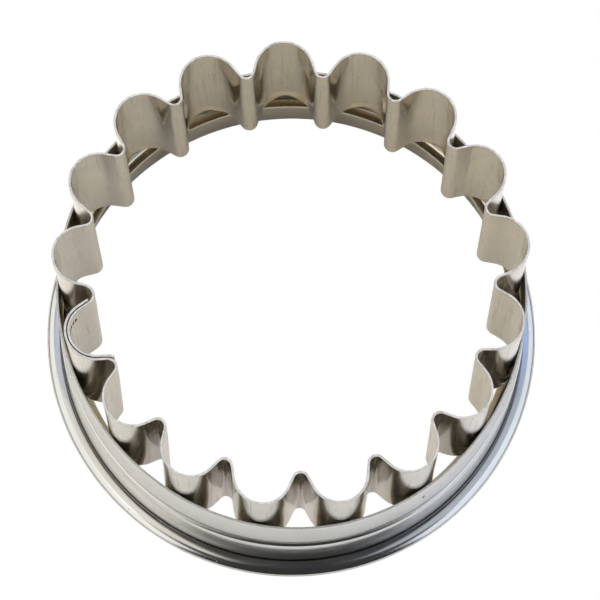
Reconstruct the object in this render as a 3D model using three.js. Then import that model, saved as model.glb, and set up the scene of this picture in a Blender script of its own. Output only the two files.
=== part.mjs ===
// Fluted round cookie cutter. A crinkled strip of steel, closed by a welded lap, is the blade. It sits
// in a plain collar, which has a rolled groove under the blade and a rolled bead to press on.
// Millimetres, +Z up. The cutter stands on its bead with the cutting edge up, the origin is the middle
// of the ring that it stands on, and one lobe of the blade lies on the +Y axis.

import * as THREE from 'three';

// Steel sheet
const SHEET = 0.3;

// Collar
const COLLAR_RADIUS = 30.25;
const COLLAR_HEIGHT = 25;
const GROOVE_HEIGHT = 13.1;
const GROOVE_RISE = 1.05;
const GROOVE_DEPTH = 1.67;
const GROOVE_SHELF = 0.72;
const GROOVE_LIP_RADIUS = 0.4;
const GROOVE_SHOULDER_RADIUS = 0.5;
const GROOVE_CREST_RADIUS = 0.3;
const FOOT_STEP = 0.2;
const BEAD_WIDTH = 2;
const BEAD_FOOT_RADIUS = 0.6;
const BEAD_NOSE_RADIUS = 0.45;
const BEAD_DOME_RADIUS = 2.4;
const BEAD_DOME_TURN = THREE.MathUtils.degToRad(42);

// Blade
const FLUTES = 17;
const FLUTE_DEPTH = 4.1;
const RIDGE_ARC_RADIUS = 1;
const FLANK_LENGTH = 1.25;
const BLADE_HEIGHT = 25;
const SEAT_CLEARANCE = 0.2;
const WELD_GAP = 0.15;

// Lap of the blade, in parts of a flute from the middle of the lapped lobe
const LAP_LOBE = 5;
const LAP_OUTER_END = -0.42;
const LAP_INNER_END = 0.45;
const LAP_JOG_START = -0.75;
const LAP_JOG_END = -0.45;
const LAP_GAP = 0.15;

// Welds
const TACKED_LOBES = [5, 10, 15];
const TACK_DIAMETER = 1.6;
const WELD_CLEARANCE = 0.03;
const LAP_WELD_START = THREE.MathUtils.degToRad(25);
const LAP_WELD_END = THREE.MathUtils.degToRad(65);
const LAP_WELD_HEIGHT = 0.8;
const LAP_WELD_DROP = 6;

// Smoothness of the curves
const COLLAR_SIDES = 84;
const GROOVE_STEPS = 3;
const DOME_STEPS = 3;
const LOBE_STEPS = 6;
const RIDGE_STEPS = 4;
const WELD_STEPS = 6;
const BEAD_STEP = Math.PI / 6;

// Fits between the pieces
const collarInnerRadius = COLLAR_RADIUS - SHEET;
const lobeOuterRadius = collarInnerRadius - WELD_GAP;
const bladeBottom = GROOVE_HEIGHT + GROOVE_RISE + SHEET / 2 + SEAT_CLEARANCE;
const bladeTop = bladeBottom + BLADE_HEIGHT;
const pitch = 2 * Math.PI / FLUTES;

// The middle line of one flute: a lobe arc, a straight flank and half a ridge arc on each side.
const lobeTop = lobeOuterRadius - SHEET / 2;
const ridgeCentreRadius = lobeTop - FLUTE_DEPTH + RIDGE_ARC_RADIUS;
const ridgeX = ridgeCentreRadius * Math.sin(pitch / 2);
const ridgeY = ridgeCentreRadius * Math.cos(pitch / 2);
const ridgeDrop = lobeTop - ridgeY;
const lobeArcRadius = (ridgeX ** 2 + ridgeDrop ** 2 - RIDGE_ARC_RADIUS ** 2 - FLANK_LENGTH ** 2)
  / (2 * (RIDGE_ARC_RADIUS + ridgeDrop));
const lobeY = lobeTop - lobeArcRadius;
const flankAngle = Math.atan2(ridgeY - lobeY, ridgeX)
  + Math.atan2(FLANK_LENGTH, lobeArcRadius + RIDGE_ARC_RADIUS);

function arcPoints(x, y, radius, start, end, steps) {
  return new THREE.EllipseCurve(x, y, radius, radius, start, end, end < start).getPoints(steps);
}

// Unit vector across a line of points, to the left of its direction of travel.
function leftNormal(line, index) {
  const before = line[Math.max(index - 1, 0)];
  const after = line[Math.min(index + 1, line.length - 1)];
  const along = after.clone().sub(before).normalize();
  return new THREE.Vector2(-along.y, along.x);
}

// Moves each point of a line to the left by the distance that the function gives for it.
function shiftLeft(line, distance) {
  return line.map((point, index) =>
    point.clone().addScaledVector(leftNormal(line, index), distance(point)));
}

// Closed outline of a bent sheet from its middle line.
function sheetOutline(middleLine) {
  const left = shiftLeft(middleLine, () => SHEET / 2);
  const right = shiftLeft(middleLine, () => -SHEET / 2);
  return [...right, ...left.reverse()];
}

// One flute from ridge to ridge, with its lobe on +Y and running counterclockwise seen from above.
function fluteLine() {
  const apexAngle = Math.PI * 1.5 - pitch / 2;
  const half = [
    ...arcPoints(ridgeX, ridgeY, RIDGE_ARC_RADIUS, apexAngle, flankAngle + Math.PI, RIDGE_STEPS),
    ...arcPoints(0, lobeY, lobeArcRadius, flankAngle, Math.PI / 2, LOBE_STEPS),
  ];
  const mirrored = half.slice(0, -1).reverse().map((point) => new THREE.Vector2(-point.x, point.y));
  return [...half, ...mirrored];
}

// Distance round the blade from the middle of the lapped lobe, in flutes.
function fluteCount(turns, point) {
  return turns + (Math.atan2(point.y, point.x) - Math.PI / 2) / pitch;
}

// The strip's middle line, from its outer end in the lapped lobe once round to its inner end there.
function stripLine() {
  const line = [];
  const travel = new Map();
  for (let flute = 0; flute <= FLUTES; flute++) {
    for (const local of fluteLine().slice(0, -1)) {
      const count = fluteCount(flute, local);
      if (count < LAP_OUTER_END || count > FLUTES + LAP_INNER_END) continue;
      const point = local.clone().rotateAround(new THREE.Vector2(), flute * pitch);
      line.push(point);
      travel.set(point, count);
    }
  }
  const jogStart = FLUTES + LAP_JOG_START;
  const jogEnd = FLUTES + LAP_JOG_END;
  return shiftLeft(line, (point) =>
    (SHEET + LAP_GAP) * THREE.MathUtils.smoothstep(travel.get(point), jogStart, jogEnd));
}

function bladeGeometry() {
  const outline = new THREE.Shape(sheetOutline(stripLine()));
  return new THREE.ExtrudeGeometry(outline, { depth: BLADE_HEIGHT, bevelEnabled: false });
}

// Arc that rounds the corner of a line to a radius.
function filletPoints(before, corner, after, radius) {
  const back = before.clone().sub(corner).normalize();
  const ahead = after.clone().sub(corner).normalize();
  const halfAngle = Math.acos(back.dot(ahead)) / 2;
  const inward = back.clone().add(ahead).normalize();
  const centre = corner.clone().addScaledVector(inward, radius / Math.sin(halfAngle));
  const reach = radius / Math.tan(halfAngle);
  const start = corner.clone().addScaledVector(back, reach).sub(centre).angle();
  const end = corner.clone().addScaledVector(ahead, reach).sub(centre).angle();
  const turn = THREE.MathUtils.euclideanModulo(end - start + Math.PI, 2 * Math.PI) - Math.PI;
  return arcPoints(centre.x, centre.y, radius, start, start + turn, GROOVE_STEPS);
}

// The groove from its top down: a lip and a shelf, a ridge that points inward, and the same again below.
function groovePoints(wallRadius) {
  const shelfRadius = wallRadius - GROOVE_SHELF;
  const top = GROOVE_HEIGHT + GROOVE_RISE;
  const bottom = GROOVE_HEIGHT - GROOVE_RISE;
  const corners = [
    new THREE.Vector2(wallRadius, COLLAR_HEIGHT),
    new THREE.Vector2(wallRadius, top),
    new THREE.Vector2(shelfRadius, top),
    new THREE.Vector2(wallRadius - GROOVE_DEPTH, GROOVE_HEIGHT),
    new THREE.Vector2(shelfRadius, bottom),
    new THREE.Vector2(wallRadius + FOOT_STEP, bottom),
    new THREE.Vector2(wallRadius + FOOT_STEP, 0),
  ];
  const radii = [
    GROOVE_LIP_RADIUS, GROOVE_SHOULDER_RADIUS, GROOVE_CREST_RADIUS, GROOVE_SHOULDER_RADIUS, GROOVE_LIP_RADIUS,
  ];
  return radii.flatMap((radius, i) => filletPoints(corners[i], corners[i + 1], corners[i + 2], radius));
}

// The bead rolls outward from the foot of the wall, round a tight nose and back to the wall in a low dome.
function beadPoints(wallRadius) {
  const footX = wallRadius + BEAD_FOOT_RADIUS;
  const footZ = SHEET / 2 + BEAD_FOOT_RADIUS;
  const noseX = wallRadius + BEAD_WIDTH - BEAD_NOSE_RADIUS;
  const noseZ = SHEET / 2 + BEAD_NOSE_RADIUS;
  const down = Math.PI * 1.5;
  const up = Math.PI * 2.5;
  const noseEnd = up - BEAD_DOME_TURN;
  const domeX = noseX - (BEAD_DOME_RADIUS - BEAD_NOSE_RADIUS) * Math.cos(noseEnd);
  const domeZ = noseZ - (BEAD_DOME_RADIUS - BEAD_NOSE_RADIUS) * Math.sin(noseEnd);
  const steps = (turn) => Math.ceil(turn / BEAD_STEP);
  return [
    ...arcPoints(footX, footZ, BEAD_FOOT_RADIUS, Math.PI, down, steps(down - Math.PI)),
    ...arcPoints(noseX, noseZ, BEAD_NOSE_RADIUS, down, noseEnd, steps(noseEnd - down)),
    ...arcPoints(domeX, domeZ, BEAD_DOME_RADIUS, noseEnd, up, DOME_STEPS).slice(1),
  ];
}

function collarGeometry() {
  const wallRadius = COLLAR_RADIUS - SHEET / 2;
  const middleLine = [
    new THREE.Vector2(wallRadius, COLLAR_HEIGHT),
    ...groovePoints(wallRadius),
    ...beadPoints(wallRadius + FOOT_STEP),
  ];
  const outline = sheetOutline(middleLine);
  return new THREE.LatheGeometry([...outline, outline[0]], COLLAR_SIDES).rotateX(Math.PI / 2);
}

// A thin patch in the lap's gap, below the cutting edge, that holds the two layers together.
function lapWeldGeometry() {
  const outerRadius = lobeArcRadius - SHEET / 2 - WELD_CLEARANCE;
  const innerRadius = lobeArcRadius - SHEET / 2 - LAP_GAP + WELD_CLEARANCE;
  const outline = new THREE.Shape([
    ...arcPoints(0, lobeY, outerRadius, LAP_WELD_START, LAP_WELD_END, WELD_STEPS),
    ...arcPoints(0, lobeY, innerRadius, LAP_WELD_END, LAP_WELD_START, WELD_STEPS),
  ]);
  return new THREE.ExtrudeGeometry(outline, { depth: LAP_WELD_HEIGHT, bevelEnabled: false });
}

function tackWeldGeometry() {
  const radius = TACK_DIAMETER / 2;
  return new THREE.CylinderGeometry(radius, radius, WELD_GAP - 2 * WELD_CLEARANCE, 2 * WELD_STEPS);
}

function steel(color, roughness) {
  return new THREE.MeshStandardMaterial({ color, roughness, metalness: 1 });
}

function namedMesh(name, geometry, material) {
  const mesh = new THREE.Mesh(geometry, material);
  mesh.name = name;
  return mesh;
}

// A group whose own +Y axis points at the given lobe.
function atLobe(lobe, ...pieces) {
  const group = new THREE.Group();
  group.rotation.z = lobe * pitch;
  group.add(...pieces);
  return group;
}

function makeLappedBlade() {
  const blade = namedMesh('fluted_blade', bladeGeometry(), steel(0xc9c4b8, 0.3));
  blade.position.z = bladeBottom;
  const weld = namedMesh('lap_weld', lapWeldGeometry(), steel(0x5a5248, 0.6));
  weld.position.z = bladeTop - LAP_WELD_DROP - LAP_WELD_HEIGHT / 2;
  return atLobe(LAP_LOBE, blade, weld);
}

// A spot of weld where a lobe meets the collar, halfway up the band where the two overlap.
function makeTackWeld(lobe, index) {
  const weld = namedMesh(`tack_weld_${index + 1}`, tackWeldGeometry(), steel(0x5a5248, 0.6));
  weld.position.set(0, collarInnerRadius - WELD_GAP / 2, (bladeBottom + COLLAR_HEIGHT) / 2);
  return atLobe(lobe, weld);
}

const cutter = new THREE.Group();
cutter.add(namedMesh('collar', collarGeometry(), steel(0xcbccc9, 0.25)));
cutter.add(makeLappedBlade());
cutter.add(...TACKED_LOBES.map(makeTackWeld));

export default cutter;
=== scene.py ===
"""Fluted cookie cutter: fine sheet-steel meshes with materials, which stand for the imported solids."""

import math

import bpy
import numpy as np
from mathutils import Matrix, Vector


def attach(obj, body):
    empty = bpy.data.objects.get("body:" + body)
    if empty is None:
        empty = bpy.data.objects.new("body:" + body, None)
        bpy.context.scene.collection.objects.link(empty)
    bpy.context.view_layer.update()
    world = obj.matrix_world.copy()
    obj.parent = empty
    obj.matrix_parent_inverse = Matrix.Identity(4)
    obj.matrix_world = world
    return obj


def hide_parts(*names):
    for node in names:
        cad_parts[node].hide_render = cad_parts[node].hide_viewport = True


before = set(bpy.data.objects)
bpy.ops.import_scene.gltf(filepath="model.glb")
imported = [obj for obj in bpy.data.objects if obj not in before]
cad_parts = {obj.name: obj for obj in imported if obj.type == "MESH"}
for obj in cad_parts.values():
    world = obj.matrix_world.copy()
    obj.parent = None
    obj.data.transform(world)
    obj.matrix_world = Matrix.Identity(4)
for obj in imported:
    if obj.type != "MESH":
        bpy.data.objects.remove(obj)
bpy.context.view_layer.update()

MM = 0.001

# Sizes of the solids, in millimetres
SHEET = 0.3
COLLAR_RADIUS = 30.25
COLLAR_HEIGHT = 25.0
GROOVE_HEIGHT = 13.1
GROOVE_RISE = 1.05
GROOVE_DEPTH = 1.67
GROOVE_SHELF = 0.72
GROOVE_LIP_RADIUS = 0.4
GROOVE_SHOULDER_RADIUS = 0.5
GROOVE_CREST_RADIUS = 0.3
FOOT_STEP = 0.2
BEAD_WIDTH = 2.0
BEAD_FOOT_RADIUS = 0.6
BEAD_NOSE_RADIUS = 0.45
BEAD_DOME_RADIUS = 2.4
BEAD_DOME_TURN = math.radians(42)
FLUTES = 17
PITCH = 2 * math.pi / FLUTES
FLUTE_DEPTH = 4.1
RIDGE_ARC_RADIUS = 1.0
FLANK_LENGTH = 1.25
BLADE_BOTTOM = 14.5
BLADE_TOP = 39.5
WELD_GAP = 0.15
LAP_LOBE = 5
LAP_OUTER_END = -0.42
LAP_INNER_END = 0.45
LAP_JOG_START = -0.75
LAP_JOG_END = -0.45
TACKED_LOBES = (5, 10, 15)
TACK_HEIGHT = (BLADE_BOTTOM + COLLAR_HEIGHT) / 2
TACK_DIAMETER = 1.6
LAP_WELD_ARC = (math.radians(25), math.radians(65))
LAP_WELD_BREADTH = 0.8
LAP_WELD_HEIGHT = 33.5

# Closer fits than in the solids: the gap in the lap, and the air between a weld and its sheets
LAP_GAP = 0.1
WELD_CLEARANCE = 0.01

# Outline of a weld: its mesh ends just short of its tips, and a higher power makes it squarer
WELD_END = 0.98
TACK_POWER = 2
LAP_WELD_POWER = 4

# Burns beside the lap's weld, on the inner face of the lapped lobe
LAP_BURNS = 6
LAP_BURN_ARC = (math.radians(36), math.radians(86))
LAP_BURN_HEIGHTS = (36.6, 38.2)
LAP_BURN_SIZE = 0.23

# Marks of the spot welds on the collar; burns and marks alike are stretched upright round a full core
TACK_MARK_SIZE = 0.24
MARK_STRETCH = 3.0
MARK_CORE = 0.8

# How the photographed cutter differs from a true ring: its top is bent to an oval and to three bulges,
# its foot is bulged to one side, its flutes are not quite evenly spaced and lean out above the collar
OVAL = 0.26
BULGES = 3
BULGE = 0.25
BEND_REACH = 1.3
FOOT_BULGE = 0.3
FOOT_BULGE_TOWARDS = math.radians(165)
FOOT_BULGE_POWER = 4
FLARE = 0.25

# Waves of the flutes' uneven spacing round the ring: how many, how far and where one peaks
FLUTE_DRIFTS = ((1, 0.15, math.radians(213)), (2, 0.18, math.radians(20)))

# Edges of the sheet and fineness of the meshes
EDGE_ROUND = 0.07
EDGE_MARGIN = 3 * EDGE_ROUND
EDGE_STEPS = 4
COLLAR_SIDES = 340
UPPER_WALL_ROWS = 12
LOWER_WALL_ROWS = 8
GROOVE_STEPS = 9
BEAD_STEPS = 12
WELD_STEPS = 16
LOBE_STEPS = 26
RIDGE_STEPS = 12
FLANK_STEPS = 6
BLADE_ROWS = 16
SAME_POINT = 1e-6

# Numbers of the materials on a bent sheet
OUTER_FACE, CUT_EDGE, INNER_FACE = range(3)

# Dull and bright tones of each steel; the inside tones are warmer than the outside ones, a painted warm cast
# of light bounced off the steel inside the ring
STRIP_OUTSIDE = ((0.59, 0.555, 0.485), (0.66, 0.62, 0.545))
STRIP_INSIDE = ((0.61, 0.545, 0.435), (0.68, 0.615, 0.50))
COLLAR_OUTSIDE = ((0.62, 0.615, 0.59), (0.69, 0.685, 0.665))
COLLAR_INSIDE = ((0.68, 0.62, 0.51), (0.75, 0.69, 0.58))
SHEARED_STEEL = ((0.34, 0.335, 0.325), (0.58, 0.575, 0.57))
BURNT_STEEL = ((0.05, 0.04, 0.03), (0.22, 0.19, 0.15))

# Colours of what soils the steel, and the brown of a painted shade
BRUSHED_FILM = (0.47, 0.42, 0.34)
STREAK_BROWN = (0.42, 0.34, 0.25)
STRIP_SPECK = (0.12, 0.10, 0.08)
COLLAR_SPECK = (0.15, 0.14, 0.12)
BURN_BLACK = (0.03, 0.028, 0.025)
TACK_MARK_GREY = (0.10, 0.09, 0.08)
# Painted shade: dark brown on the collar's inner wall above the blade's lower edge, in the pocket between
# blade and collar
LEDGE_SHADE_BROWN = (0.30, 0.23, 0.14)

# Where most of a noise's values lie
NOISE_SPAN = (0.3, 0.7)

# The photograph's view
CAMERA_ELEVATION = math.radians(77)
CAMERA_TURN = math.radians(-1.89)
CAMERA_DISTANCE = 0.6
CAMERA_AIM = Vector((1.19, 4.97, 0.61)) * MM
CAMERA_LENS = 268.9
CAMERA_SENSOR = 36
CAMERA_REACH = 10

# The studio, in metres
FLOOR_REACH = 3.0
FLOOR_PAINT = (0.8, 0.79, 0.77)
FLOOR_ROUGHNESS = 0.9
ROOM_GREY = (0.042, 0.042, 0.044)
CEILING = 1.05
LIGHTS_AIM = (0, 0, 0.02)

# Colours of the lights
WHITE = (1.0, 1.0, 0.97)
WARM = (1.05, 1.0, 0.92)
COOL = (0.92, 1.0, 1.15)
PALE_BLUE = (0.93, 1.0, 1.22)
BLUE = (0.75, 1.0, 1.7)
DEEP_BLUE = (0.1, 0.55, 1.2)
GOLD = (1.17, 1.0, 0.58)
CREAM = (1.05, 1.0, 0.86)
ROSE = (1.1, 0.97, 0.92)
ICE = (0.95, 1.0, 1.02)
FROST = (1.0, 1.0, 1.08)


def arc(x, y, radius, start, end, steps):
    """Points on a circle from one angle to another."""
    turn = np.linspace(start, end, steps + 1)
    return np.stack([x + radius * np.cos(turn), y + radius * np.sin(turn)], axis=1)


def left_normals(line):
    """Unit vectors across a line of points, to the left of its direction."""
    along = np.gradient(line, axis=0)
    along /= np.linalg.norm(along, axis=1)[:, None]
    return np.stack([-along[:, 1], along[:, 0]], axis=1)


def without_repeats(line):
    """The line without points that lie on the one before."""
    step = np.linalg.norm(np.diff(line, axis=0), axis=1)
    return line[np.concatenate([[True], step > SAME_POINT])]


# Flute shape: a lobe arc, a straight flank and half a ridge arc on each side
LOBE_TOP = COLLAR_RADIUS - SHEET - WELD_GAP - SHEET / 2
RIDGE_CENTRE = LOBE_TOP - FLUTE_DEPTH + RIDGE_ARC_RADIUS
RIDGE_X = RIDGE_CENTRE * math.sin(PITCH / 2)
RIDGE_Y = RIDGE_CENTRE * math.cos(PITCH / 2)
RIDGE_DROP = LOBE_TOP - RIDGE_Y
LOBE_ARC_RADIUS = (RIDGE_X**2 + RIDGE_DROP**2 - RIDGE_ARC_RADIUS**2 - FLANK_LENGTH**2) / (
    2 * (RIDGE_ARC_RADIUS + RIDGE_DROP)
)
LOBE_Y = LOBE_TOP - LOBE_ARC_RADIUS
FLANK_ANGLE = math.atan2(RIDGE_Y - LOBE_Y, RIDGE_X) + math.atan2(
    FLANK_LENGTH, LOBE_ARC_RADIUS + RIDGE_ARC_RADIUS
)


def flute_line():
    """One flute from ridge to ridge, its lobe on +Y, counterclockwise from above."""
    ridge_start, ridge_end = 1.5 * math.pi - PITCH / 2, FLANK_ANGLE + math.pi
    ridge = arc(RIDGE_X, RIDGE_Y, RIDGE_ARC_RADIUS, ridge_start, ridge_end, RIDGE_STEPS)
    lobe = arc(0, LOBE_Y, LOBE_ARC_RADIUS, FLANK_ANGLE, math.pi / 2, LOBE_STEPS)
    flank = np.linspace(ridge[-1], lobe[0], FLANK_STEPS + 1)
    half = without_repeats(np.concatenate([ridge, flank, lobe]))
    mirrored = half[-2::-1] * (-1, 1)
    return np.concatenate([half, mirrored])


def turned(points, angle):
    """The points turned about the origin."""
    cosine, sine = math.cos(angle), math.sin(angle)
    return points @ np.array([[cosine, sine], [-sine, cosine]])


def drifted(line):
    """The blade's line with its flutes drawn together in some places and apart in others."""
    radius = np.hypot(line[:, 0], line[:, 1])
    angle = np.arctan2(line[:, 1], line[:, 0])
    drift = sum(size * np.cos(waves * (angle - peak)) for waves, size, peak in FLUTE_DRIFTS)
    angle = angle + drift / COLLAR_RADIUS
    return np.stack([radius * np.cos(angle), radius * np.sin(angle)], axis=1)


def strip_line():
    """The blade's middle line, from its outer end in the lapped lobe round to its inner end."""
    flute = flute_line()[:-1]
    share = (np.arctan2(flute[:, 1], flute[:, 0]) - math.pi / 2) / PITCH
    line = np.concatenate([turned(flute, k * PITCH) for k in range(FLUTES + 1)])
    travel = np.concatenate([share + k for k in range(FLUTES + 1)])
    kept = (travel >= LAP_OUTER_END) & (travel <= FLUTES + LAP_INNER_END)
    line, travel = line[kept], travel[kept]
    jog = np.clip((travel - FLUTES - LAP_JOG_START) / (LAP_JOG_END - LAP_JOG_START), 0, 1)
    smooth_jog = jog * jog * (3 - 2 * jog)
    step_in = (SHEET + LAP_GAP) * smooth_jog
    line = line + left_normals(line) * step_in[:, None]
    return drifted(turned(line, LAP_LOBE * PITCH))


def out_of_round(vertices):
    """The points of a true ring, in millimetres, as handling has left them."""
    x, y, z = np.asarray(vertices).T
    angle = np.arctan2(y, x)
    radius = np.hypot(x, y)
    # The oval and the bulges grow with height
    bend = np.clip(z / COLLAR_HEIGHT, 0, BEND_REACH) / COLLAR_RADIUS
    outward = BULGE * bend * np.sin(BULGES * angle)
    around = BULGE / BULGES * bend * np.cos(BULGES * angle)
    shear = OVAL * bend
    # The foot's bulge fades upwards and to the sides
    facing = np.clip(np.cos(angle - FOOT_BULGE_TOWARDS), 0, 1) ** FOOT_BULGE_POWER
    outward = outward + FOOT_BULGE / COLLAR_RADIUS * facing * np.clip(1 - z / BLADE_BOTTOM, 0, 1)
    # The lobes lean out above the collar, the ridges stay
    lobe_share = (radius - LOBE_TOP + FLUTE_DEPTH) / FLUTE_DEPTH
    above_collar = np.clip((z - COLLAR_HEIGHT) / (BLADE_TOP - COLLAR_HEIGHT), 0, 1)
    outward = outward + FLARE * lobe_share * above_collar / radius
    bent_x = x * (1 + outward) - y * (around + shear)
    bent_y = y * (1 + outward) + x * (around - shear)
    return np.stack([bent_x, bent_y, z], axis=1)


def mesh_object(name, vertices, faces, uv=None, face_materials=None):
    """A smooth mesh object from points and a map in millimetres, with a material number for each face."""
    mesh = bpy.data.meshes.new(name)
    mesh.from_pydata((out_of_round(vertices) * MM).tolist(), [], faces)
    mesh.validate()
    mesh.shade_smooth()
    if uv is not None:
        layer = mesh.uv_layers.new(name="sheet")
        corner = np.empty(len(mesh.loops), dtype=np.int32)
        mesh.loops.foreach_get("vertex_index", corner)
        layer.data.foreach_set("uv", np.asarray(uv)[corner].astype(np.float32).ravel())
    if face_materials is not None:
        mesh.polygons.foreach_set("material_index", np.asarray(face_materials, dtype=np.int32))
    mesh.update()
    obj = bpy.data.objects.new(name, mesh)
    bpy.context.scene.collection.objects.link(obj)
    return obj


def grid_faces(rings, size, closed):
    """Quads between rings of points; the last ring joins the first where closed."""
    faces = []
    for ring in range(rings if closed else rings - 1):
        following = (ring + 1) % rings
        for i in range(size):
            j = (i + 1) % size
            faces.append((ring * size + i, following * size + i, following * size + j, ring * size + j))
    return faces


def swept_faces(rings, size):
    """Faces of a closed section carried along a line, with a cap on each end."""
    faces = grid_faces(rings, size, closed=False)
    faces.append(tuple(range(size - 1, -1, -1)))
    faces.append(tuple(range((rings - 1) * size, rings * size)))
    return [face[::-1] for face in faces]


def sheet_section(line):
    """Closed outline of a sheet along a line: out on its left face, back on its right, cut edges rounded."""
    half = SHEET / 2
    normals = left_normals(line)
    turn = np.linspace(0, math.pi / 2, EDGE_STEPS + 1)[1:]

    def edge(point, normal, outward, side):
        across = half - EDGE_ROUND * (1 - np.cos(turn))
        reach = EDGE_ROUND * (np.sin(turn) - 1)
        return point + side * across[:, None] * normal + reach[:, None] * outward

    start_out = (line[0] - line[1]) / np.linalg.norm(line[0] - line[1])
    end_out = (line[-1] - line[-2]) / np.linalg.norm(line[-1] - line[-2])
    inset = line.copy()
    inset[0] -= start_out * EDGE_ROUND
    inset[-1] -= end_out * EDGE_ROUND
    return np.concatenate([
        inset + normals * half,
        edge(line[-1], normals[-1], end_out, 1),
        edge(line[-1], normals[-1], end_out, -1)[::-1],
        (inset - normals * half)[::-1],
        edge(line[0], normals[0], start_out, -1),
        edge(line[0], normals[0], start_out, 1)[::-1],
    ])


def on_cut_edge(heights, edge_height):
    """Which segments of a closed section lie on the flat of a cut edge at a height."""
    near = np.abs(heights - edge_height) < EDGE_ROUND / 2
    return near & np.roll(near, -1)


def blade_section():
    """Closed section of the strip, offsets across the sheet and heights."""
    rows = np.linspace(BLADE_BOTTOM + EDGE_MARGIN, BLADE_TOP - EDGE_MARGIN, BLADE_ROWS)
    heights = np.concatenate([[BLADE_BOTTOM], rows, [BLADE_TOP]])
    return sheet_section(np.stack([np.zeros(len(heights)), heights], axis=1))[::-1]


def make_blade():
    """The fluted strip; its map is the length along the strip and the height."""
    line = strip_line()
    section = blade_section()
    normals = -left_normals(line)
    plan = line[:, None, :] + normals[:, None, :] * section[None, :, 0, None]
    height = np.broadcast_to(section[:, 1], plan.shape[:2])
    vertices = np.concatenate([plan, height[:, :, None]], axis=2).reshape(-1, 3)
    travel = np.concatenate([[0], np.cumsum(np.linalg.norm(np.diff(line, axis=0), axis=1))])
    uv = np.stack([np.repeat(travel, len(section)), vertices[:, 2]], axis=1)
    faces = swept_faces(len(line), len(section))
    cut = on_cut_edge(section[:, 1], BLADE_TOP) | on_cut_edge(section[:, 1], BLADE_BOTTOM)
    inside = (section[:, 0] < 0) & (np.roll(section[:, 0], -1) < 0)
    materials = np.where(cut, CUT_EDGE, np.where(inside, INNER_FACE, OUTER_FACE))
    materials = np.concatenate([np.tile(materials, len(line) - 1), [CUT_EDGE, CUT_EDGE]])
    return mesh_object("blade_strip", vertices, faces, uv, materials)


def fillet(before, corner, after, radius):
    """Arc that rounds the corner of a line to a radius."""
    back = (before - corner) / np.linalg.norm(before - corner)
    ahead = (after - corner) / np.linalg.norm(after - corner)
    half_angle = math.acos(back @ ahead) / 2
    inward = (back + ahead) / np.linalg.norm(back + ahead)
    centre = corner + inward * radius / math.sin(half_angle)
    reach = radius / math.tan(half_angle)
    start_x, start_y = corner + back * reach - centre
    end_x, end_y = corner + ahead * reach - centre
    start = math.atan2(start_y, start_x)
    turn = (math.atan2(end_y, end_x) - start + math.pi) % (2 * math.pi) - math.pi
    return arc(*centre, radius, start, start + turn, GROOVE_STEPS)


def groove_line(wall):
    """Middle line of the groove from its top down: lip and shelf, an inward ridge, and the same below."""
    shelf, foot = wall - GROOVE_SHELF, wall + FOOT_STEP
    top, bottom = GROOVE_HEIGHT + GROOVE_RISE, GROOVE_HEIGHT - GROOVE_RISE
    ridge = (wall - GROOVE_DEPTH, GROOVE_HEIGHT)
    corners = np.array([
        (wall, COLLAR_HEIGHT), (wall, top), (shelf, top), ridge, (shelf, bottom), (foot, bottom), (foot, 0)
    ])
    lip, shoulder = GROOVE_LIP_RADIUS, GROOVE_SHOULDER_RADIUS
    radii = (lip, shoulder, GROOVE_CREST_RADIUS, shoulder, lip)
    return np.concatenate([fillet(*corners[i : i + 3], radius) for i, radius in enumerate(radii)])


def bead_line(wall):
    """Middle line of the bead: out from the foot of the wall, round a tight nose and back in a low dome."""
    foot, nose, dome = BEAD_FOOT_RADIUS, BEAD_NOSE_RADIUS, BEAD_DOME_RADIUS
    nose_x, nose_z = wall + BEAD_WIDTH - nose, SHEET / 2 + nose
    down, up = 1.5 * math.pi, 2.5 * math.pi
    nose_end = up - BEAD_DOME_TURN
    dome_x = nose_x - (dome - nose) * math.cos(nose_end)
    dome_z = nose_z - (dome - nose) * math.sin(nose_end)
    return np.concatenate([
        arc(wall + foot, SHEET / 2 + foot, foot, math.pi, down, BEAD_STEPS),
        arc(nose_x, nose_z, nose, down, nose_end, 2 * BEAD_STEPS),
        arc(dome_x, dome_z, dome, nose_end, up, BEAD_STEPS),
    ])


def collar_line():
    """Middle line of the collar's sheet, radius and height, from the rim down and round the bead."""
    wall = COLLAR_RADIUS - SHEET / 2
    groove = groove_line(wall)
    bead = bead_line(wall + FOOT_STEP)
    upper = np.linspace((wall, COLLAR_HEIGHT), groove[0], UPPER_WALL_ROWS)
    lower = np.linspace(groove[-1], bead[0], LOWER_WALL_ROWS)
    return without_repeats(np.concatenate([upper, groove, lower, bead]))


def make_collar():
    """The collar's sheet, its section turned about the middle of the ring."""
    line = collar_line()
    section = sheet_section(line)
    turn = np.arange(COLLAR_SIDES) * 2 * math.pi / COLLAR_SIDES
    size = len(section)
    vertices = np.stack(
        [
            np.outer(np.cos(turn), section[:, 0]),
            np.outer(np.sin(turn), section[:, 0]),
            np.broadcast_to(section[:, 1], (COLLAR_SIDES, size)),
        ],
        axis=2,
    ).reshape(-1, 3)
    cut = on_cut_edge(section[:, 1], COLLAR_HEIGHT)
    # The wall's inner face comes second in the section, and the bead rolls the foot of it to the outside
    inner_start = size - len(line) - 2 * EDGE_STEPS
    inside = (np.arange(size) > inner_start) & (section[:, 0] < COLLAR_RADIUS)
    materials = np.where(cut, CUT_EDGE, np.where(inside, INNER_FACE, OUTER_FACE))
    faces = grid_faces(COLLAR_SIDES, size, closed=True)
    return mesh_object("collar_ring", vertices, faces, face_materials=np.tile(materials, COLLAR_SIDES))


def make_nugget(name, line, gap, half_breadths, height):
    """A flat grain of weld along a line in plan, filling the gap between two sheets."""
    turn = np.linspace(0, 2 * math.pi, WELD_STEPS, endpoint=False)
    across = (gap / 2 - WELD_CLEARANCE) * np.cos(turn)
    plan = line[:, None, :] + left_normals(line)[:, None, :] * across[None, :, None]
    rise = height + np.outer(half_breadths, np.sin(turn))
    vertices = np.concatenate([plan, rise[:, :, None]], axis=2).reshape(-1, 3)
    return mesh_object(name, vertices, swept_faces(len(line), WELD_STEPS))


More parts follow.
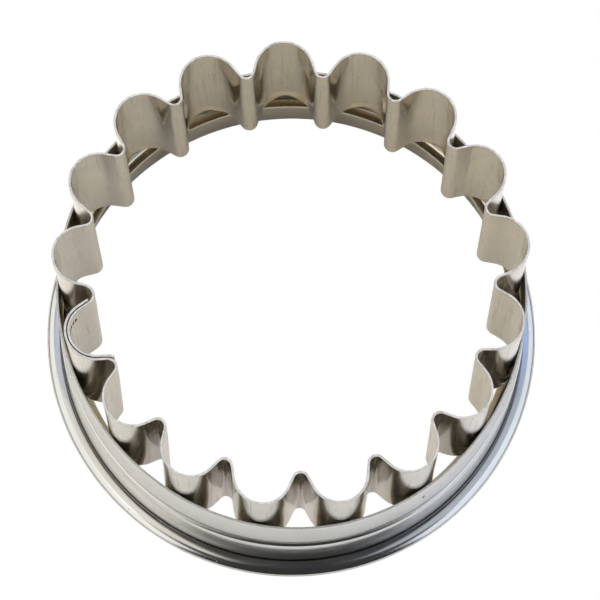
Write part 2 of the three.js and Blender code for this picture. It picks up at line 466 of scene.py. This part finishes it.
def make_tack_button(name, lobe):
    """The spot of weld between a lobe and the collar."""
    radius = TACK_DIAMETER / 2
    gap_middle = COLLAR_RADIUS - SHEET - WELD_GAP / 2
    share = np.linspace(-WELD_END, WELD_END, WELD_STEPS)
    around = math.pi / 2 + lobe * PITCH - share * radius / gap_middle
    line = gap_middle * np.stack([np.cos(around), np.sin(around)], axis=1)
    half_breadths = radius * np.sqrt(1 - share**TACK_POWER)
    return make_nugget(name, line, WELD_GAP, half_breadths, TACK_HEIGHT)


def lap_arc(radius, angles, steps):
    """Points in plan along the lapped lobe, between two angles and at a radius about the lobe's axis."""
    return drifted(turned(arc(0, LOBE_Y, radius, *angles, steps), LAP_LOBE * PITCH))


def make_lap_patch():
    """The weld between the two layers of the lap."""
    line = lap_arc(LOBE_ARC_RADIUS - (SHEET + LAP_GAP) / 2, LAP_WELD_ARC, WELD_STEPS)
    share = np.linspace(-WELD_END, WELD_END, len(line))
    half_breadths = LAP_WELD_BREADTH / 2 * np.sqrt(1 - share**LAP_WELD_POWER)
    return make_nugget("lap_patch", line, LAP_GAP, half_breadths, LAP_WELD_HEIGHT)


class Nodes:
    """Small helper for building a node tree."""

    def __init__(self, tree):
        self.tree = tree

    def add(self, kind, **settings):
        node = self.tree.nodes.new(kind)
        for name, value in settings.items():
            setattr(node, name, value)
        return node

    def link(self, source, target):
        self.tree.links.new(source, target)


def new_material(name):
    """A material with the helper for its nodes and its main shader."""
    material = bpy.data.materials.new(name)
    material.use_nodes = True
    nodes = Nodes(material.node_tree)
    shader = material.node_tree.nodes["Principled BSDF"]
    return material, nodes, shader


def noise(nodes, coordinates, scale, detail=4.0, rough=0.6):
    """Noise stretched by a different scale along each axis."""
    mapping = nodes.add("ShaderNodeMapping")
    mapping.inputs["Scale"].default_value = scale
    nodes.link(coordinates, mapping.inputs["Vector"])
    texture = nodes.add("ShaderNodeTexNoise")
    texture.inputs["Scale"].default_value = 1.0
    texture.inputs["Detail"].default_value = detail
    texture.inputs["Roughness"].default_value = rough
    nodes.link(mapping.outputs["Vector"], texture.inputs["Vector"])
    return texture.outputs["Fac"]


def two_tones(nodes, value, span, tones):
    """Colour that goes from one tone to another while a value goes over a span."""
    node = nodes.add("ShaderNodeValToRGB")
    for element, place, tone in zip(node.color_ramp.elements, span, tones):
        element.position = place
        element.color = (*tone, 1)
    nodes.link(value, node.inputs["Fac"])
    return node.outputs["Color"]


def map_range(nodes, value, span, result, smooth=False):
    """Number that goes from one result to another while a value goes over a span."""
    node = nodes.add("ShaderNodeMapRange")
    node.interpolation_type = "SMOOTHSTEP" if smooth else "LINEAR"
    for name, number in zip(("From Min", "From Max", "To Min", "To Max"), (*span, *result)):
        node.inputs[name].default_value = number
    nodes.link(value, node.inputs["Value"])
    return node.outputs["Result"]


def bump(nodes, height, strength, depth):
    """Normal of a surface with bumps of a depth in millimetres."""
    node = nodes.add("ShaderNodeBump")
    node.inputs["Strength"].default_value = strength
    node.inputs["Distance"].default_value = depth * MM
    nodes.link(height, node.inputs["Height"])
    return node.outputs["Normal"]


def stain(nodes, colour, mask, dark):
    """The colour turned to a dark one where the mask is high."""
    mix = nodes.add("ShaderNodeMixRGB")
    mix.inputs["Color2"].default_value = (*dark, 1)
    nodes.link(mask, mix.inputs["Fac"])
    nodes.link(colour, mix.inputs["Color1"])
    return mix.outputs["Color"]


def combine(nodes, operation, values):
    """The values put together pair by pair, such as their largest or smallest."""
    result = values[0]
    for value in values[1:]:
        node = nodes.add("ShaderNodeMath", operation=operation)
        nodes.link(result, node.inputs[0])
        nodes.link(value, node.inputs[1])
        result = node.outputs["Value"]
    return result


def dull_dirt_and_shade(nodes, shader, masks):
    """Turns bare metal to a dull coat where any of the masks is high, for real marks and painted shade
    alike.
    """
    dirt_and_shade = combine(nodes, "MAXIMUM", masks)
    nodes.link(map_range(nodes, dirt_and_shade, (0, 1), (1, 0)), shader.inputs["Metallic"])
    shader.inputs["Specular IOR Level"].default_value = 0.0


def distance_from(nodes, place, point):
    """Distance of the shaded place from a point given in millimetres."""
    node = nodes.add("ShaderNodeVectorMath", operation="DISTANCE")
    node.inputs[1].default_value = [number * MM for number in point]
    nodes.link(place, node.inputs[0])
    return node.outputs["Value"]


def spots(nodes, place, points, size):
    """Mask of ragged upright spots about points on the finished piece, in millimetres."""
    squeeze = np.array([1, 1, 1 / MARK_STRETCH])
    flat = nodes.add("ShaderNodeVectorMath", operation="MULTIPLY")
    flat.inputs[1].default_value = squeeze
    nodes.link(place, flat.inputs[0])
    ragged = nodes.add("ShaderNodeTexNoise")
    ragged.inputs["Scale"].default_value = 1 / (size * MM)
    nodes.link(flat.outputs["Vector"], ragged.inputs["Vector"])
    moved = nodes.add("ShaderNodeVectorMath", operation="MULTIPLY_ADD")
    nodes.link(ragged.outputs["Color"], moved.inputs[0])
    moved.inputs[1].default_value = [size * MM] * 3
    nodes.link(flat.outputs["Vector"], moved.inputs[2])
    # The noise moves places by half the size on average, so the centres move with them
    centres = out_of_round(points) * squeeze + size / 2
    distances = [distance_from(nodes, moved.outputs["Vector"], centre) for centre in centres]
    nearest = combine(nodes, "MINIMUM", distances)
    return map_range(nodes, nearest, (MARK_CORE * size * MM, size * MM), (1, 0), smooth=True)


def lap_burns():
    """Places of the burns that the lap's weld has left on the lobe's inner face."""
    plan = lap_arc(LOBE_ARC_RADIUS - SHEET - LAP_GAP - SHEET / 2, LAP_BURN_ARC, LAP_BURNS - 1)
    return np.column_stack([plan, np.linspace(*LAP_BURN_HEIGHTS, LAP_BURNS)])


def tack_marks():
    """Places of the marks that the spot welds have left on the outside of the collar."""
    around = np.array([math.pi / 2 + lobe * PITCH for lobe in TACKED_LOBES])
    plan = COLLAR_RADIUS * np.stack([np.cos(around), np.sin(around)], axis=1)
    return np.column_stack([plan, np.full(len(plan), TACK_HEIGHT)])


def blade_material(name, tones):
    """Rolled strip steel with upright grain, brown streaks, specks and the lap's burns."""
    material, nodes, shader = new_material(name)
    strip = nodes.add("ShaderNodeUVMap", uv_map="sheet").outputs["UV"]
    place = nodes.add("ShaderNodeTexCoord").outputs["Object"]
    grain = noise(nodes, strip, scale=(9.0, 0.35, 1.0))
    clouds = noise(nodes, strip, scale=(0.35, 0.25, 1.0), detail=3.0)
    long_streaks = noise(nodes, strip, scale=(1.9, 0.05, 1.0))
    streaks = map_range(nodes, long_streaks, (0.52, 0.76), (0, 0.3), smooth=True)
    short_strokes = noise(nodes, strip, scale=(5.0, 0.5, 1.0), detail=2.0)
    brushing = map_range(nodes, short_strokes, (0.4, 0.7), (0, 0.3))
    grit = noise(nodes, strip, scale=(3.2, 1.7, 1.0), detail=1.0)
    specks = map_range(nodes, grit, (0.72, 0.76), (0, 0.8), smooth=True)
    burns = spots(nodes, place, lap_burns(), LAP_BURN_SIZE)
    colour = two_tones(nodes, clouds, NOISE_SPAN, tones)
    colour = stain(nodes, colour, brushing, BRUSHED_FILM)
    colour = stain(nodes, colour, streaks, STREAK_BROWN)
    colour = stain(nodes, colour, specks, STRIP_SPECK)
    colour = stain(nodes, colour, burns, BURN_BLACK)
    nodes.link(colour, shader.inputs["Base Color"])
    nodes.link(map_range(nodes, grain, NOISE_SPAN, (0.08, 0.16)), shader.inputs["Roughness"])
    nodes.link(bump(nodes, grain, strength=0.25, depth=0.004), shader.inputs["Normal"])
    dull_dirt_and_shade(nodes, shader, [streaks, specks, burns])
    return material


def above_ledge(nodes, place):
    """Mask of what lies above the groove's ledge, where the collar's inside gets its painted shade."""
    split = nodes.add("ShaderNodeSeparateXYZ")
    nodes.link(place, split.inputs["Vector"])
    span = (BLADE_BOTTOM * MM, (BLADE_BOTTOM + SHEET) * MM)
    return map_range(nodes, split.outputs["Z"], span, (0, 1))


def collar_material(name, tones, dirt_and_shade):
    """Bright drawn steel with marks round the ring and at each spot weld; where asked, it adds painted
    shade: uneven dark brown on the inner wall above the blade's lower edge, in the pocket between blade and
    collar.
    """
    material, nodes, shader = new_material(name)
    place = nodes.add("ShaderNodeTexCoord").outputs["Object"]
    grain = noise(nodes, place, scale=(180.0, 180.0, 6000.0))
    clouds = noise(nodes, place, scale=(120.0, 120.0, 200.0), detail=3.0)
    grit = noise(nodes, place, scale=(1500.0,) * 3, detail=1.0)
    specks = map_range(nodes, grit, (0.75, 0.8), (0, 0.6), smooth=True)
    marks = spots(nodes, place, tack_marks(), TACK_MARK_SIZE)
    colour = two_tones(nodes, clouds, NOISE_SPAN, tones)
    colour = stain(nodes, colour, specks, COLLAR_SPECK)
    colour = stain(nodes, colour, marks, TACK_MARK_GREY)
    masks = [specks, marks]
    if dirt_and_shade:
        # Painted shade: uneven dark brown above the blade's lower edge, where the pocket between blade and
        # collar lies in shade
        shade_noise = noise(nodes, place, scale=(500.0, 500.0, 250.0))
        shade_patches = map_range(nodes, shade_noise, NOISE_SPAN, (0.1, 0.9))
        ledge_shade = combine(nodes, "MULTIPLY", [shade_patches, above_ledge(nodes, place)])
        colour = stain(nodes, colour, ledge_shade, LEDGE_SHADE_BROWN)
        masks.append(ledge_shade)
    nodes.link(colour, shader.inputs["Base Color"])
    nodes.link(map_range(nodes, grain, NOISE_SPAN, (0.12, 0.2)), shader.inputs["Roughness"])
    nodes.link(bump(nodes, grain, strength=0.2, depth=0.003), shader.inputs["Normal"])
    dull_dirt_and_shade(nodes, shader, masks)
    return material


def cut_edge_material():
    """The bright, finely torn metal of a sheared edge."""
    material, nodes, shader = new_material("sheared_edge_steel")
    place = nodes.add("ShaderNodeTexCoord").outputs["Object"]
    tears = noise(nodes, place, scale=(3000.0,) * 3)
    colour = two_tones(nodes, tears, (0.3, 0.6), SHEARED_STEEL)
    nodes.link(colour, shader.inputs["Base Color"])
    nodes.link(map_range(nodes, tears, NOISE_SPAN, (0.4, 0.6)), shader.inputs["Roughness"])
    nodes.link(bump(nodes, tears, strength=0.3, depth=0.01), shader.inputs["Normal"])
    shader.inputs["Metallic"].default_value = 0.3
    return material


def weld_material():
    """Burnt steel of the weld spots."""
    material, nodes, shader = new_material("burnt_weld_steel")
    place = nodes.add("ShaderNodeTexCoord").outputs["Object"]
    speckle = noise(nodes, place, scale=(4000.0,) * 3)
    colour = two_tones(nodes, speckle, (0.35, 0.7), BURNT_STEEL)
    nodes.link(colour, shader.inputs["Base Color"])
    nodes.link(map_range(nodes, speckle, NOISE_SPAN, (0.4, 0.7)), shader.inputs["Roughness"])
    shader.inputs["Metallic"].default_value = 1.0
    return material


def dress(obj, materials, node):
    """Gives a piece its materials and lets it stand for its CAD node."""
    for material in materials:
        obj.data.materials.append(material)
    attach(obj, "root")
    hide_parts(node)


def show_to_camera(nodes, shown, lit, output):
    """Shows one shader to the camera itself and another one in mirrors and as light."""
    path = nodes.add("ShaderNodeLightPath")
    mix = nodes.add("ShaderNodeMixShader")
    nodes.link(path.outputs["Is Camera Ray"], mix.inputs["Fac"])
    nodes.link(lit, mix.inputs[1])
    nodes.link(shown, mix.inputs[2])
    nodes.link(mix.outputs["Shader"], output.inputs["Surface"])


def make_floor():
    """A white floor: the picture shows it evenly lit, the steel mirrors it as the lights fall on it."""
    mesh = bpy.data.meshes.new("floor")
    reach = FLOOR_REACH
    corners = [(-reach, -reach, 0), (reach, -reach, 0), (reach, reach, 0), (-reach, reach, 0)]
    mesh.from_pydata(corners, [], [(0, 1, 2, 3)])
    floor = bpy.data.objects.new("floor", mesh)
    bpy.context.scene.collection.objects.link(floor)
    material, nodes, shader = new_material("white_sweep")
    shader.inputs["Base Color"].default_value = (*FLOOR_PAINT, 1)
    shader.inputs["Roughness"].default_value = FLOOR_ROUGHNESS
    glow = nodes.add("ShaderNodeEmission")
    glow.inputs["Color"].default_value = (1, 1, 1, 1)
    output = material.node_tree.nodes["Material Output"]
    show_to_camera(nodes, glow.outputs["Emission"], shader.outputs["BSDF"], output)
    mesh.materials.append(material)


def make_world():
    """A dark room that the picture shows as white."""
    world = bpy.data.worlds.new("studio")
    bpy.context.scene.world = world
    world.use_nodes = True
    nodes = Nodes(world.node_tree)
    room = world.node_tree.nodes["Background"]
    room.inputs["Color"].default_value = (*ROOM_GREY, 1)
    white = nodes.add("ShaderNodeBackground")
    white.inputs["Color"].default_value = (1, 1, 1, 1)
    output = world.node_tree.nodes["World Output"]
    show_to_camera(nodes, white.outputs["Background"], room.outputs["Background"], output)


def area_light(name, place, target, size, power, colour):
    """A rectangular light that faces a target."""
    light = bpy.data.lights.new(name, "AREA")
    light.shape = "RECTANGLE"
    light.size, light.size_y = size
    light.energy = power
    light.color = colour
    obj = bpy.data.objects.new(name, light)
    obj.location = place
    obj.rotation_euler = (Vector(target) - Vector(place)).to_track_quat("-Z", "Y").to_euler()
    bpy.context.scene.collection.objects.link(obj)
    return obj


def ceiling_panel(name, x, y, size, power, colour):
    """A light under the ceiling that faces straight down."""
    area_light(name, (x, y, CEILING), (x, y, 0), size, power, colour)


def make_lights():
    """Wide panels beside, above and behind show in the steel; the fills only light the floor it mirrors."""
    low, high, sky = (1.6, 0.6), (0.82, 0.87), (0.82, 0.6)
    area_light("left_low_panel", (-0.86, -0.2, 0.45), LIGHTS_AIM, low, 3.7, WHITE)
    area_light("right_low_panel", (0.86, -0.2, 0.45), LIGHTS_AIM, low, 3.4, COOL)
    ceiling_panel("left_high_panel", -0.69, -0.31, high, 2.15, WARM)
    ceiling_panel("right_high_panel", 0.69, -0.31, high, 1.35, COOL)
    ceiling_panel("left_sky_panel", -0.69, 0.44, sky, 1.15, PALE_BLUE)
    ceiling_panel("right_sky_panel", 0.69, 0.44, sky, 1.05, BLUE)
    area_light("back_panel", (0, 1.2, 0.4), LIGHTS_AIM, (2.4, 0.6), 2.9, GOLD)
    fills = [
        area_light("top_fill", (0, 0, 1.5), LIGHTS_AIM, (0.6, 0.6), 9.6, CREAM),
        area_light("front_fill", (0, -1.1, 0.75), LIGHTS_AIM, (0.8, 0.5), 0.7, DEEP_BLUE),
        area_light("back_fill", (0, 0.9, 0.9), LIGHTS_AIM, (0.8, 0.5), 6.0, ROSE),
        area_light("left_fill", (-0.6, 0.45, 1.1), LIGHTS_AIM, (0.5, 0.5), 2.3, ICE),
        area_light("right_fill", (0.6, 0.45, 1.1), LIGHTS_AIM, (0.5, 0.5), 4.0, FROST),
    ]
    for fill in fills:
        fill.visible_glossy = False


def make_camera():
    """A camera at the photograph's angle, aimed a little off the middle as the photograph is framed."""
    data = bpy.data.cameras.new("camera")
    data.lens = CAMERA_LENS
    data.sensor_width = CAMERA_SENSOR
    data.clip_end = CAMERA_REACH
    camera = bpy.data.objects.new("camera", data)
    turn = Matrix.Rotation(CAMERA_TURN, 4, "Z") @ Matrix.Rotation(math.pi / 2 - CAMERA_ELEVATION, 4, "X")
    camera.matrix_world = Matrix.Translation(CAMERA_AIM) @ turn @ Matrix.Translation((0, 0, CAMERA_DISTANCE))
    bpy.context.scene.collection.objects.link(camera)
    bpy.context.scene.camera = camera


make_camera()
make_floor()
make_world()
make_lights()
cut_edge = cut_edge_material()
weld = weld_material()
blade_faces = [
    blade_material("strip_steel_outside", STRIP_OUTSIDE),
    cut_edge,
    blade_material("strip_steel_inside", STRIP_INSIDE),
]
dress(make_blade(), blade_faces, "fluted_blade")
collar_faces = [
    collar_material("drawn_steel_outside", COLLAR_OUTSIDE, dirt_and_shade=False),
    cut_edge,
    collar_material("drawn_steel_inside", COLLAR_INSIDE, dirt_and_shade=True),
]
dress(make_collar(), collar_faces, "collar")
dress(make_lap_patch(), [weld], "lap_weld")
for index, lobe in enumerate(TACKED_LOBES, start=1):
    dress(make_tack_button(f"tack_button_{index}", lobe), [weld], f"tack_weld_{index}")
bpy.context.scene.view_settings.view_transform = "Standard"
